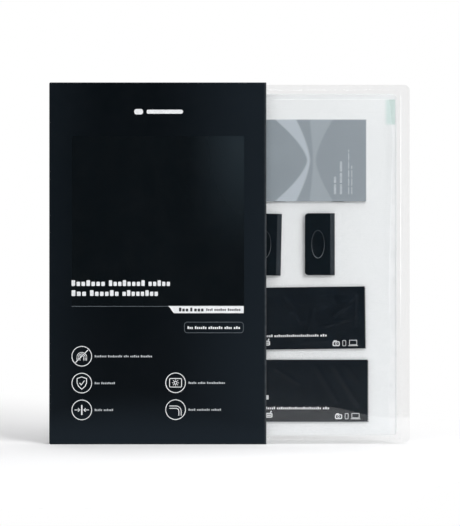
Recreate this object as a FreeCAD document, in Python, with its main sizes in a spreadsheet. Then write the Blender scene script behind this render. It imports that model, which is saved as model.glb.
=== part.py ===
"""Boxed screen-protector kit: a card sleeve with a clear case drawn half out of its open end.

The case is a clear tray with a clear lid. It holds a glass sheet between foam sheets, and on the
front foam a booklet, two squeegees and two sachets of wipes.
Frame: +Z up, the front faces -Y, millimetres. The origin is at the middle of the base.
"""

import FreeCAD
import Part
import Sketcher
import os
import types

SIZES = {
    # card sleeve, folded shut at its left end and open at its right end
    "sleeve_length": 225.0,
    "sleeve_height": 375.0,
    "sleeve_depth": 15.0,
    "board": 1.0,
    "fold_radius": 1.5,
    # how the clear case lies in the sleeve
    "case_out": 149.0,
    "end_clearance": 1.0,
    "face_clearance": 0.3,
    "floor_clearance": 0.3,
    "roof_clearance": 1.2,
    # formed sheet of the case
    "case_wall": 0.5,
    "case_corner": 6.0,
    "flange_side": 9.3,
    "flange_top": 5.0,
    "flange_bottom": 3.5,
    "lid_rise": 3.0,
    "lid_edge_radius": 1.2,
    "lid_corner": 3.0,
    "step_depth": 2.5,
    "ledge": 4.0,
    "recess_corner": 3.0,
    # glass sheet with its films and foam
    "foam_clearance": 0.3,
    "glass_gap_side": 1.6,
    "glass_gap_top": 5.8,
    "glass_gap_bottom": 0.2,
    "glass_thickness": 0.4,
    "glass_corner": 3.0,
    "film_thickness": 0.15,
    "tab_length": 9.7,
    "tab_height": 26.0,
    "tab_thickness": 0.15,
    "cover_gap_side": 3.2,
    "cover_foam_thickness": 1.2,
    "lid_gap": 1.5,
    # booklet, lying on its side with the spine along its lower edge
    "booklet_length": 120.0,
    "booklet_height": 85.0,
    "booklet_cover": 0.3,
    "booklet_pages": 1.8,
    "page_inset": 0.6,
    "staple_span": 12.0,
    "staple_wire": 0.5,
    "staple_leg": 1.6,
    "staple_spacing": 60.0,
    "staple_play": 0.05,
    # squeegee with a bevelled blade on its right edge and an oval thumb dish
    "squeegee_length": 31.0,
    "squeegee_height": 64.2,
    "squeegee_thickness": 3.0,
    "squeegee_corner": 3.6,
    "bevel_width": 4.6,
    "blade_thickness": 0.8,
    "dish_half_width": 6.6,
    "dish_half_height": 14.4,
    "dish_depth": 0.8,
    "dish_from_left": 14.0,
    # film sachet with toothed ends
    "sachet_length": 125.0,
    "sachet_height": 64.4,
    "sachet_film": 0.2,
    "seal_end": 6.0,
    "seal_side": 2.5,
    "pillow_slope": 1.6,
    "tooth_pitch": 2.15,
    "tooth_depth": 1.1,
    "sachet_play": 0.3,
    "wet_wipe_thickness": 2.0,
    "dry_cloth_thickness": 1.4,
    "sticker_thickness": 0.3,
    "sticker_margin": 6.0,
    # how the loose pieces lie, as turns in degrees
    "left_squeegee_lean": 1.2,
    "upper_sachet_lean": 0.7,
    # share of the free width to the right of each loose piece
    "booklet_right_share": 0.403,
    "right_squeegee_right_share": 0.383,
    "left_squeegee_right_share": 0.744,
    "upper_sachet_right_share": 0.437,
    "lower_sachet_right_share": 0.398,
    # share of the free height below each row of loose pieces
    "lower_sachet_below_share": 0.197,
    "upper_sachet_below_share": 0.144,
    "squeegee_below_share": 0.187,
    "booklet_below_share": 0.176,
}


class Size:
    """A dimension: its value, and the formula over the sheet's cells that drives it."""

    def __init__(self, value, formula):
        self.value = value
        self.formula = formula

    def __add__(self, other):
        other = as_size(other)
        return Size(self.value + other.value, f"({self.formula} + {other.formula})")

    def __sub__(self, other):
        other = as_size(other)
        return Size(self.value - other.value, f"({self.formula} - {other.formula})")

    def __mul__(self, other):
        other = as_size(other)
        return Size(self.value * other.value, f"({self.formula} * {other.formula})")

    def __truediv__(self, other):
        other = as_size(other)
        return Size(self.value / other.value, f"({self.formula} / {other.formula})")

    def __neg__(self):
        return Size(-self.value, f"(0 - {self.formula})")


def as_size(thing):
    """The Size itself, or a plain number as one."""
    if isinstance(thing, Size):
        return thing
    return Size(float(thing), str(float(thing)))


def larger(first, second):
    return Size(max(first.value, second.value), f"max({first.formula}; {second.formula})")


def smaller(first, second):
    return Size(min(first.value, second.value), f"min({first.formula}; {second.formula})")


def whole(size):
    """The size rounded down to a count."""
    return Size(size.value // 1, f"floor({size.formula})")


doc = FreeCAD.newDocument("screen_protector_kit")
sheet = doc.addObject("Spreadsheet::Sheet", "Sizes")
for row, (alias, number) in enumerate(SIZES.items(), start=1):
    sheet.set(f"A{row}", alias.replace("_", " "))
    sheet.set(f"B{row}", str(number))
    sheet.setAlias(f"B{row}", alias)
doc.recompute()
cells = {alias: Size(number, f"Sizes.{alias}") for alias, number in SIZES.items()}
dim = types.SimpleNamespace(**cells)
ZERO = as_size(0)
NEAR = 1e-4


def bind(item, prop, size):
    item.setExpression(prop, as_size(size).formula)


def place(item, corner):
    """Puts an object's own origin at a corner given as three sizes."""
    for axis, size in zip("xyz", corner):
        bind(item, f"Placement.Base.{axis}", size)


def lean(item, degrees):
    """Turns a piece about the front-to-back axis; a positive lean tips its top to the right."""
    some_turn = FreeCAD.Rotation(FreeCAD.Vector(0, 1, 0), 1)
    item.Placement = FreeCAD.Placement(FreeCAD.Vector(), some_turn)
    bind(item, "Placement.Rotation.Angle", degrees)


def new_body(label):
    body = doc.addObject("PartDesign::Body", label)
    body.Label = label
    return body


def block(body, kind, name, corner, extent):
    """Adds or cuts a box in a body: its lowest corner and its extent along X, Y and Z."""
    feature = body.newObject(f"PartDesign::{kind}Box", name)
    for prop, size in zip(("Length", "Width", "Height"), extent):
        bind(feature, prop, size)
    place(feature, corner)
    doc.recompute()
    return feature


def edges_where(feature, wanted):
    """Names of the edges of a feature whose two ends and direction pass a test."""
    names = []
    for index, edge in enumerate(feature.Shape.Edges, start=1):
        first, last = edge.Vertexes[0].Point, edge.Vertexes[-1].Point
        if wanted(first, last):
            names.append(f"Edge{index}")
    return names


def along(axis, first, last):
    """True for a straight run along one axis, 0 for X, 1 for Y and 2 for Z."""
    others = [i for i in range(3) if i != axis]
    return all(abs(first[i] - last[i]) < NEAR for i in others)


def both_at(axis, size, first, last):
    """True where both ends lie at one coordinate."""
    return abs(first[axis] - size.value) < NEAR and abs(last[axis] - size.value) < NEAR


def round_edges(body, name, base, radius, wanted):
    fillet = body.newObject("PartDesign::Fillet", name)
    fillet.Base = (base, edges_where(base, wanted))
    bind(fillet, "Radius", radius)
    doc.recompute()
    return fillet


def origin_plane(body, role):
    return next(item for item in body.Origin.OriginFeatures if item.Role == role)


def outline(body, plane, name, corners):
    """A closed sketch of straight lines, each corner a pair of sizes from the sketch's origin."""
    sketch = body.newObject("Sketcher::SketchObject", name)
    sketch.AttachmentSupport = (origin_plane(body, plane), [""])
    sketch.MapMode = "FlatFace"
    points = [FreeCAD.Vector(as_size(u).value, as_size(v).value, 0) for u, v in corners]
    count = len(points)
    for index in range(count):
        sketch.addGeometry(Part.LineSegment(points[index], points[(index + 1) % count]))
    for index in range(count):
        sketch.addConstraint(Sketcher.Constraint("Coincident", index, 2, (index + 1) % count, 1))
    for index, pair in enumerate(corners):
        for kind, size in zip(("DistanceX", "DistanceY"), pair):
            size = as_size(size)
            held = sketch.addConstraint(Sketcher.Constraint(kind, -1, 1, index, 1, size.value))
            if size.formula != ZERO.formula:
                sketch.setExpression(f"Constraints[{held}]", size.formula)
    doc.recompute()
    return sketch


def pad(body, name, sketch, length):
    feature = body.newObject("PartDesign::Pad", name)
    feature.Profile = sketch
    bind(feature, "Length", length)
    sketch.Visibility = False
    doc.recompute()
    return feature


def plain_box(label, corner, extent):
    box = doc.addObject("Part::Box", label)
    box.Label = label
    for prop, size in zip(("Length", "Width", "Height"), extent):
        bind(box, prop, size)
    place(box, corner)
    return box


# places worked out from the driving sizes
sleeve_left = -(dim.sleeve_length + dim.case_out) / 2
sleeve_front = -dim.sleeve_depth / 2
sleeve_mouth = sleeve_left + dim.sleeve_length
case_length = dim.sleeve_length - dim.board - dim.end_clearance
case_right = sleeve_mouth + dim.case_out
case_left = case_right - case_length
case_bottom = dim.board + dim.floor_clearance
case_top = dim.sleeve_height - dim.board - dim.roof_clearance
case_height = case_top - case_bottom
case_front = sleeve_front + dim.board + dim.face_clearance
case_back = -case_front
flange_front = case_front + dim.lid_rise
flange_seam = flange_front + dim.case_wall
flange_back = flange_seam + dim.case_wall
floor_front = case_back - dim.case_wall
mouth_left = case_left + dim.flange_side
mouth_right = case_right - dim.flange_side
mouth_bottom = case_bottom + dim.flange_bottom
mouth_top = case_top - dim.flange_top
recess_left = mouth_left + dim.ledge
recess_right = mouth_right - dim.ledge
recess_bottom = mouth_bottom + dim.ledge
recess_top = mouth_top - dim.ledge

# the stack in the case, from the lid inwards
booklet_depth = dim.booklet_pages + dim.booklet_cover * 2
cloth_stack = dim.dry_cloth_thickness + dim.sticker_thickness
sachet_room = larger(dim.wet_wipe_thickness, cloth_stack) + dim.sachet_play
sachet_depth = sachet_room + dim.sachet_film * 2
thickest = larger(larger(booklet_depth, sachet_depth), dim.squeegee_thickness)
cover_front = case_front + dim.case_wall + dim.lid_gap + thickest
tab_front = cover_front + dim.cover_foam_thickness
front_film_front = tab_front + dim.tab_thickness
glass_front = front_film_front + dim.film_thickness
liner_front = glass_front + dim.glass_thickness
base_foam_front = liner_front + dim.film_thickness
glass_left = recess_left + dim.glass_gap_side
glass_right = recess_right - dim.glass_gap_side
glass_bottom = recess_bottom + dim.glass_gap_bottom
glass_top = recess_top - dim.glass_gap_top
glass_length = glass_right - glass_left
glass_height = glass_top - glass_bottom
cover_left = glass_left + dim.cover_gap_side
cover_right = glass_right - dim.cover_gap_side
cover_length = cover_right - cover_left

# rows of loose pieces on the front foam, one above the other
row_heights = dim.sachet_height * 2 + dim.squeegee_height + dim.booklet_height
spare_height = glass_height - row_heights
lower_sachet_bottom = glass_bottom + spare_height * dim.lower_sachet_below_share
lower_sachet_top = lower_sachet_bottom + dim.sachet_height
upper_sachet_bottom = lower_sachet_top + spare_height * dim.upper_sachet_below_share
upper_sachet_top = upper_sachet_bottom + dim.sachet_height
squeegee_bottom = upper_sachet_top + spare_height * dim.squeegee_below_share
squeegee_top = squeegee_bottom + dim.squeegee_height
booklet_bottom = squeegee_top + spare_height * dim.booklet_below_share


def left_of(length, right_share):
    """Left end of a loose piece that leaves a share of the free width on its right."""
    return cover_right - (cover_length - length) * right_share - length


def make_sleeve():
    """A folded card tube with its left end folded shut."""
    body = new_body("card_sleeve")
    profile = outline(
        body,
        "YZ_Plane",
        "sleeve_profile",
        [
            (ZERO, ZERO),
            (dim.sleeve_depth, ZERO),
            (dim.sleeve_depth, dim.sleeve_height),
            (ZERO, dim.sleeve_height),
        ],
    )
    tube = pad(body, "sleeve_tube", profile, dim.sleeve_length)
    round_edges(
        body,
        "sleeve_folds",
        tube,
        dim.fold_radius,
        lambda first, last: along(0, first, last) or both_at(0, ZERO, first, last),
    )
    inside = (
        dim.sleeve_length - dim.board,
        dim.sleeve_depth - dim.board * 2,
        dim.sleeve_height - dim.board * 2,
    )
    block(body, "Subtractive", "sleeve_inside", (dim.board, dim.board, dim.board), inside)
    place(body, (sleeve_left, sleeve_front, ZERO))
    return body


def hollow(label, outside, inside):
    """One body with another cut out of it."""
    cut = doc.addObject("Part::Cut", label)
    cut.Label = label
    cut.Base = outside
    cut.Tool = inside
    return cut


def make_case_base():
    """A formed tray: a flat flange, a step down to a ledge, and a deep recess within the ledge."""
    wall = dim.case_wall
    outside = new_body("base_outside")
    flange = block(
        outside,
        "Additive",
        "base_flange",
        (case_left, flange_seam, case_bottom),
        (case_length, wall, case_height),
    )
    round_edges(outside, "base_flange_corners", flange, dim.case_corner, lambda a, b: along(1, a, b))
    block(
        outside,
        "Additive",
        "step_outside",
        (mouth_left - wall, flange_seam, mouth_bottom - wall),
        (
            mouth_right - mouth_left + wall * 2,
            dim.step_depth + wall,
            mouth_top - mouth_bottom + wall * 2,
        ),
    )
    tub = block(
        outside,
        "Additive",
        "recess_outside",
        (recess_left - wall, flange_seam, recess_bottom - wall),
        (
            recess_right - recess_left + wall * 2,
            case_back - flange_seam,
            recess_top - recess_bottom + wall * 2,
        ),
    )
    round_edges(
        outside,
        "tub_corners",
        tub,
        dim.recess_corner + wall,
        lambda a, b: along(1, a, b) and max(a.y, b.y) > flange_back.value + NEAR,
    )
    inside = new_body("base_inside")
    block(
        inside,
        "Additive",
        "step_inside",
        (mouth_left, flange_seam, mouth_bottom),
        (mouth_right - mouth_left, dim.step_depth, mouth_top - mouth_bottom),
    )
    core = block(
        inside,
        "Additive",
        "recess_inside",
        (recess_left, flange_seam, recess_bottom),
        (recess_right - recess_left, floor_front - flange_seam, recess_top - recess_bottom),
    )
    round_edges(inside, "core_corners", core, dim.recess_corner, lambda a, b: along(1, a, b))
    return hollow("case_base", outside, inside)


def make_case_lid():
    """A formed cover: the same flat flange round a raised flat panel with a rounded rim."""
    wall = dim.case_wall
    outside = new_body("lid_outside")
    flange = block(
        outside,
        "Additive",
        "lid_flange",
        (case_left, flange_front, case_bottom),
        (case_length, wall, case_height),
    )
    round_edges(outside, "lid_flange_corners", flange, dim.case_corner, lambda a, b: along(1, a, b))
    panel = block(
        outside,
        "Additive",
        "lid_panel",
        (mouth_left, case_front, mouth_bottom),
        (mouth_right - mouth_left, flange_seam - case_front, mouth_top - mouth_bottom),
    )
    panel = round_edges(
        outside,
        "lid_corners",
        panel,
        dim.lid_corner,
        lambda a, b: along(1, a, b) and min(a.y, b.y) < flange_front.value - NEAR,
    )
    round_edges(
        outside,
        "lid_rim",
        panel,
        dim.lid_edge_radius,
        lambda a, b: both_at(1, case_front, a, b),
    )
    inside = new_body("lid_inside")
    core_front = case_front + wall
    core = block(
        inside,
        "Additive",
        "lid_core",
        (mouth_left + wall, core_front, mouth_bottom + wall),
        (
            mouth_right - mouth_left - wall * 2,
            flange_seam - core_front,
            mouth_top - mouth_bottom - wall * 2,
        ),
    )
    inner_corner = dim.lid_corner - wall
    core = round_edges(inside, "lid_core_corners", core, inner_corner, lambda a, b: along(1, a, b))
    round_edges(
        inside,
        "lid_core_rim",
        core,
        dim.lid_edge_radius - wall,
        lambda a, b: both_at(1, core_front, a, b),
    )
    return hollow("case_lid", outside, inside)


def rounded_sheet(label, corner, extent, radius):
    """A flat upright sheet with rounded corners."""
    body = new_body(label)
    slab = block(body, "Additive", f"{label}_slab", corner, extent)
    round_edges(body, f"{label}_corners", slab, radius, lambda a, b: along(1, a, b))
    return body


def make_layers():
    """Foam, films and glass, each a flat sheet lying on the one behind it."""
    play = dim.foam_clearance
    pieces = [
        rounded_sheet(
            "base_foam_pad",
            (recess_left + play, base_foam_front, recess_bottom + play),
            (
                recess_right - recess_left - play * 2,
                floor_front - base_foam_front,
                recess_top - recess_bottom - play * 2,
            ),
            dim.recess_corner,
        )
    ]
    for label, front, thickness in (
        ("adhesive_liner", liner_front, dim.film_thickness),
        ("glass_sheet", glass_front, dim.glass_thickness),
        ("front_film", front_film_front, dim.film_thickness),
    ):
        pieces.append(
            rounded_sheet(
                label,
                (glass_left, front, glass_bottom),
                (glass_length, thickness, glass_height),
                dim.glass_corner,
            )
        )
    pieces.append(
        plain_box(
            "film_pull_tab",
            (glass_right - dim.tab_length, tab_front, glass_top - dim.tab_height),
            (dim.tab_length, dim.tab_thickness, dim.tab_height),
        )
    )
    pieces.append(
        plain_box(
            "cover_foam_sheet",
            (cover_left, cover_front, glass_bottom),
            (cover_length, dim.cover_foam_thickness, glass_height),
        )
    )
    return pieces


def make_booklet():
    """A grey cover folded round white pages, with two wire staples through the spine."""
    left = left_of(dim.booklet_length, dim.booklet_right_share)
    front = cover_front - booklet_depth
    cover = new_body("booklet_cover")
    block(
        cover,
        "Additive",
        "cover_outside",
        (left, front, booklet_bottom),
        (dim.booklet_length, booklet_depth, dim.booklet_height),
    )
    pages = new_body("booklet_pages")
    page_front = front + dim.booklet_cover
    page_bottom = booklet_bottom + dim.booklet_cover
    block(
        cover,
        "Subtractive",
        "cover_inside",
        (left, page_front, page_bottom),
        (dim.booklet_length, dim.booklet_pages, dim.booklet_height - dim.booklet_cover),
    )
    block(
        pages,
        "Additive",
        "page_block",
        (left + dim.page_inset, page_front, page_bottom),
        (
            dim.booklet_length - dim.page_inset * 2,
            dim.booklet_pages,
            dim.booklet_height - dim.booklet_cover - dim.page_inset,
        ),
    )
    staples = []
    middle = left + dim.booklet_length / 2
    wire = dim.staple_wire
    play = dim.staple_play
    wire_front = front + booklet_depth / 2 - wire / 2
    for side, share in (("left", -0.5), ("right", 0.5)):
        start = middle + dim.staple_spacing * share - dim.staple_span / 2
        crown = plain_box(
            f"{side}_crown",
            (start, wire_front, booklet_bottom - wire),
            (dim.staple_span, wire, wire),
        )
        staple = [crown]
        for end, offset in (("first", ZERO), ("second", dim.staple_span - wire)):
            leg_left = start + offset
            staple.append(
                plain_box(
                    f"{side}_{end}_leg",
                    (leg_left, wire_front, booklet_bottom - wire),
                    (wire, wire, dim.staple_leg + wire),
                )
            )
            for owner in (cover, pages):
                block(
                    owner,
                    "Subtractive",
                    f"{owner.Name}_{side}_{end}_hole",
                    (leg_left - play, wire_front - play, booklet_bottom - wire),
                    (wire + play * 2, wire + play * 2, dim.staple_leg + wire + play),
                )
        joined = doc.addObject("Part::MultiFuse", f"{side}_staple")
        joined.Shapes = staple
        staples.append(joined)
    pair = doc.addObject("Part::Compound", "booklet_staples")
    pair.Label = "booklet_staples"
    pair.Links = staples
    return [cover, pages, pair]


def make_squeegee(label, right_share, turn):
    """A plate with a bevelled blade along its right edge and a shallow oval thumb dish."""
    body = new_body(label)
    section = outline(
        body,
        "XY_Plane",
        f"{label}_section",
        [
            (ZERO, ZERO),
            (dim.squeegee_length - dim.bevel_width, ZERO),
            (dim.squeegee_length, dim.squeegee_thickness - dim.blade_thickness),
            (dim.squeegee_length, dim.squeegee_thickness),
            (ZERO, dim.squeegee_thickness),
        ],
    )
    plate = pad(body, f"{label}_plate", section, dim.squeegee_height)
    round_edges(
        body,
        f"{label}_corners",
        plate,
        dim.squeegee_corner,
        lambda a, b: along(1, a, b) and both_at(0, ZERO, a, b),
    )
    dish = body.newObject("PartDesign::SubtractiveEllipsoid", f"{label}_dish")
    bind(dish, "Radius1", dim.dish_half_height)
    bind(dish, "Radius2", dim.dish_half_width)
    bind(dish, "Radius3", dim.dish_depth)
    place(dish, (dim.dish_from_left, ZERO, dim.squeegee_height / 2))
    lean(body, turn)
    left = left_of(dim.squeegee_length, right_share)
    place(body, (left, cover_front - dim.squeegee_thickness, squeegee_bottom))
    return body


def make_sachet(row, right_share, bottom, turn):
    """A sealed film pillow with toothed ends; a wet wipe, a dry cloth and stickers lie in it."""
    label = f"{row}_sachet"
    left = left_of(dim.sachet_length, right_share)
    corner = (left, cover_front - sachet_depth, bottom)
    pouch = new_body(f"{label}_pouch")
    seal = dim.sachet_film * 2
    block(
        pouch,
        "Additive",
        f"{label}_seal",
        (ZERO, sachet_depth - seal, ZERO),
        (dim.sachet_length, seal, dim.sachet_height),
    )
    pillow = block(
        pouch,
        "Additive",
        f"{label}_pillow",
        (dim.seal_end, ZERO, dim.seal_side),
        (
            dim.sachet_length - dim.seal_end * 2,
            sachet_depth - seal,
            dim.sachet_height - dim.seal_side * 2,
        ),
    )
    slope = pouch.newObject("PartDesign::Chamfer", f"{label}_slope")
    slope.Base = (pillow, edges_where(pillow, lambda a, b: both_at(1, ZERO, a, b)))
    bind(slope, "Size", smaller(dim.pillow_slope, sachet_depth - seal - dim.sachet_film))
    doc.recompute()
    inset_x = dim.seal_end + dim.pillow_slope + dim.sachet_film
    inset_z = dim.seal_side + dim.pillow_slope + dim.sachet_film
    room_length = dim.sachet_length - inset_x * 2
    room_height = dim.sachet_height - inset_z * 2
    block(
        pouch,
        "Subtractive",
        f"{label}_room",
        (inset_x, dim.sachet_film, inset_z),
        (room_length, sachet_room, room_height),
    )
    cut_teeth(pouch, label)

    half = room_length / 2
    play = dim.sachet_play
    back = sachet_depth - dim.sachet_film
    pack_height = room_height - play * 2
    wipe = (
        "wet_wipe",
        (inset_x + play, back - dim.wet_wipe_thickness, inset_z + play),
        (half - play * 1.5, dim.wet_wipe_thickness, pack_height),
    )
    cloth_front = back - dim.dry_cloth_thickness
    cloth = (
        "dry_cloth",
        (inset_x + half + play / 2, cloth_front, inset_z + play),
        (half - play * 1.5, dim.dry_cloth_thickness, pack_height),
    )
    margin = dim.sticker_margin
    sticker_left = inset_x + half + play / 2 + margin
    stickers = (
        "dust_stickers",
        (sticker_left, cloth_front - dim.sticker_thickness, inset_z + play + margin),
        (half - play * 1.5 - margin * 2, dim.sticker_thickness, pack_height - margin * 2),
    )
    pieces = [pouch]
    for name, low, extent in (wipe, cloth, stickers):
        body = new_body(f"{row}_{name}")
        block(body, "Additive", f"{row}_{name}_slab", low, extent)
        pieces.append(body)
    for piece in pieces:
        lean(piece, turn)
        place(piece, corner)
    return pieces


def cut_teeth(pouch, label):
    """Cuts a row of notches into both ends of a sachet, so that they end in teeth."""
    count = whole(dim.sachet_height / dim.tooth_pitch)
    pitch = dim.sachet_height / count
    for side, root, tip in (
        ("left", dim.tooth_depth, ZERO),
        ("right", dim.sachet_length - dim.tooth_depth, dim.sachet_length),
    ):
        notch = outline(
            pouch,
            "XZ_Plane",
            f"{label}_{side}_notch",
            [(tip, ZERO), (root, pitch / 2), (tip, pitch)],
        )
        cut = pouch.newObject("PartDesign::Pocket", f"{label}_{side}_cut")
        cut.Profile = notch
        cut.Type = "ThroughAll"
        cut.Midplane = True
        notch.Visibility = False
        doc.recompute()
        teeth = pouch.newObject("PartDesign::LinearPattern", f"{label}_{side}_teeth")
        teeth.Originals = [cut]
        teeth.Direction = (notch, ["V_Axis"])
        bind(teeth, "Length", dim.sachet_height - pitch)
        bind(teeth, "Occurrences", count)
        pouch.Tip = teeth
        doc.recompute()


def checked(pieces):
    """Stops if any object failed to build, or a piece is empty, broken or not made of solids."""
    for item in doc.Objects:
        if "Invalid" in item.State or "Error" in item.State:
            raise RuntimeError(f"{item.Label} failed: {item.State}")
    for piece in pieces:
        if piece.Shape.isNull() or not piece.Shape.isValid() or not piece.Shape.Solids:
            raise RuntimeError(f"{piece.Label} has no valid solid")
    return pieces


parts = [make_sleeve(), make_case_base(), make_case_lid()]
parts += make_layers()
parts += make_booklet()
parts.append(make_squeegee("right_squeegee", dim.right_squeegee_right_share, ZERO))
parts.append(make_squeegee("left_squeegee", dim.left_squeegee_right_share, dim.left_squeegee_lean))
upper_turn = -dim.upper_sachet_lean
parts += make_sachet("upper", dim.upper_sachet_right_share, upper_sachet_bottom, upper_turn)
parts += make_sachet("lower", dim.lower_sachet_right_share, lower_sachet_bottom, ZERO)
doc.recompute()

os.makedirs("parts", exist_ok=True)
for piece in checked(parts):
    piece.Shape.exportStep(f"parts/{piece.Label}.step")
    box = piece.Shape.BoundBox
    print(
        f"{piece.Label}: {len(piece.Shape.Solids)} solid, {piece.Shape.Volume:.1f} mm3,",
        f"X {box.XMin:.2f} to {box.XMax:.2f},",
        f"Y {box.YMin:.2f} to {box.YMax:.2f},",
        f"Z {box.ZMin:.2f} to {box.ZMax:.2f}",
    )
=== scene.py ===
"""A boxed glass screen protector kit: a printed card sleeve and a clear case drawn out of it.

The solids come packed, in metres, with +Z up and the front facing -Y. This script gives each of them its
finish, models the foam, the film sachets and the print, and sets the floor, the light and the camera.
"""

import math

import bmesh
import bpy
from mathutils import Matrix, Vector, noise


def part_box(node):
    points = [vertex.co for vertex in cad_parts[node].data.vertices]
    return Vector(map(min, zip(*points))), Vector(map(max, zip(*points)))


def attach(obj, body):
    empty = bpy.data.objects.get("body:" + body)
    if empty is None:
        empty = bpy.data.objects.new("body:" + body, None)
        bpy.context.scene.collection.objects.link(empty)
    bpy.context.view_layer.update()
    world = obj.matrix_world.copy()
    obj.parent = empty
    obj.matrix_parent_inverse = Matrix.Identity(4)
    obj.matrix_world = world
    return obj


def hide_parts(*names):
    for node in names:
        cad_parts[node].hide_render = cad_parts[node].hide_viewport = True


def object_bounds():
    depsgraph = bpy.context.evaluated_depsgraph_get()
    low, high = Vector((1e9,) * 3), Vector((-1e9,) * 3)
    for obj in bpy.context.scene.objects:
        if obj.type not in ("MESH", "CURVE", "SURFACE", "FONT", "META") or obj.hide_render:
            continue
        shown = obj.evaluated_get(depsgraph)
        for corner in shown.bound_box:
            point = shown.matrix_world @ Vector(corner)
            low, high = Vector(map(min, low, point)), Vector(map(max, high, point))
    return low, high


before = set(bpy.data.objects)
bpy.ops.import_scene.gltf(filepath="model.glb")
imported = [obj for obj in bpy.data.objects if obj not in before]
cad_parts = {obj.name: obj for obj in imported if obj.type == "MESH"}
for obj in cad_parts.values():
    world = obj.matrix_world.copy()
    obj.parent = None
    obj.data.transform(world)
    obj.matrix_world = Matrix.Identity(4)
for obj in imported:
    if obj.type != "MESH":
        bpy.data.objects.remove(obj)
cad_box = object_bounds()

MM = 0.001

# the photograph's frame and the camera that took it
IMAGE_WIDTH = 460
IMAGE_HEIGHT = 526
PIXEL = 1.0355 * MM
OBJECT_MIDDLE_X = 229.65
OBJECT_FOOT_Y = 444.4
CAMERA_DISTANCE = 1.5
SENSOR = 36.0

# edges sharper than this stay crisp on the modelled pieces
SHARP_ANGLE = math.radians(40)

# how far each squeegee leans, in degrees, and the widths of a squeegee and of its bevelled blade, which is
# painted paler as a highlight
SQUEEGEE_LEAN = {"right_squeegee": 0.0, "left_squeegee": 1.2}
SQUEEGEE_WIDTH = 31 * MM
BLADE_WIDTH = 5 * MM

# how far the floor reaches before the case at the right, as a share of the camera's distance, and how
# many times as far at the left
FLOOR_REACH = 0.168
LEFT_REACH = 1.56

# most values of a noise node lie between these
NOISE_LOW = 0.3
NOISE_HIGH = 0.7

AMBIENT_LEVEL = 0.32
ROOM_LEVEL = 0.03
PANEL_LEVEL = 6.0


def srgb(red, green, blue):
    """A colour as a picture shows it, from 0 to 255, turned into linear light."""
    linear = []
    for level in (red, green, blue):
        share = level / 255
        linear.append(share / 12.92 if share <= 0.04045 else ((share + 0.055) / 1.055) ** 2.4)
    return (*linear, 1.0)


def ease(share):
    """A smooth step from 0 to 1."""
    share = min(max(share, 0.0), 1.0)
    return share * share * (3 - 2 * share)


def wave(place, size):
    """Smooth noise from 0 to 1, with blobs about size across."""
    return 0.5 + 0.5 * noise.noise(place / size)


def arc(middle, radius, start, turn, steps):
    """Points on an arc of a circle, with angles in degrees from the right."""
    angles = [math.radians(start + turn * i / steps) for i in range(steps + 1)]
    return [(middle[0] + radius * math.cos(a), middle[1] + radius * math.sin(a)) for a in angles]


def make_camera():
    lens_data = bpy.data.cameras.new("photo_camera")
    lens_data.sensor_width = SENSOR
    lens_data.lens = SENSOR * CAMERA_DISTANCE / (max(IMAGE_WIDTH, IMAGE_HEIGHT) * PIXEL)
    camera = add_object("photo_camera", lens_data)
    camera.location = (
        (IMAGE_WIDTH / 2 - OBJECT_MIDDLE_X) * PIXEL,
        cad_box[0].y - CAMERA_DISTANCE,
        (OBJECT_FOOT_Y - IMAGE_HEIGHT / 2) * PIXEL,
    )
    camera.rotation_euler = (math.pi / 2, 0, 0)
    bpy.context.scene.camera = camera


class Nodes:
    """Short ways to add nodes to the tree of a material or a world and to join them."""

    def __init__(self, tree):
        self.tree = tree

    def add(self, kind, *values, sockets=None, **settings):
        """A node whose first inputs get these values; sockets feeds others by name or number."""
        node = self.tree.nodes.new(f"ShaderNode{kind}")
        for key, value in settings.items():
            setattr(node, key, value)
        for key, value in [*enumerate(values), *(sockets or {}).items()]:
            self.feed(node.inputs[key], value)
        return node

    def feed(self, socket, value):
        """Joins an output to an input, or sets the input to a plain value."""
        if isinstance(value, bpy.types.NodeSocket):
            self.tree.links.new(value, socket)
        else:
            socket.default_value = value

    def math(self, operation, *values):
        return self.add("Math", *values, operation=operation).outputs[0]

    def times(self, first, second):
        return self.math("MULTIPLY", first, second)

    def spread(self, value, low, high, to_low=0.0, to_high=1.0, straight=False):
        """Turns one range of values into another, smoothly or along a straight line."""
        ranges = (low, high, to_low, to_high)
        course = "LINEAR" if straight else "SMOOTHSTEP"
        return self.add("MapRange", value, *ranges, interpolation_type=course).outputs[0]

    def blend(self, share, first, second):
        """A colour between two colours."""
        sockets = {0: share, 6: first, 7: second}
        return self.add("Mix", sockets=sockets, data_type="RGBA").outputs[2]

    def rays(self, *kinds):
        """One for rays of any of these kinds, else nought."""
        path = self.add("LightPath")
        share = path.outputs[kinds[0]]
        for kind in kinds[1:]:
            share = self.math("MAXIMUM", share, path.outputs[kind])
        return share


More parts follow.
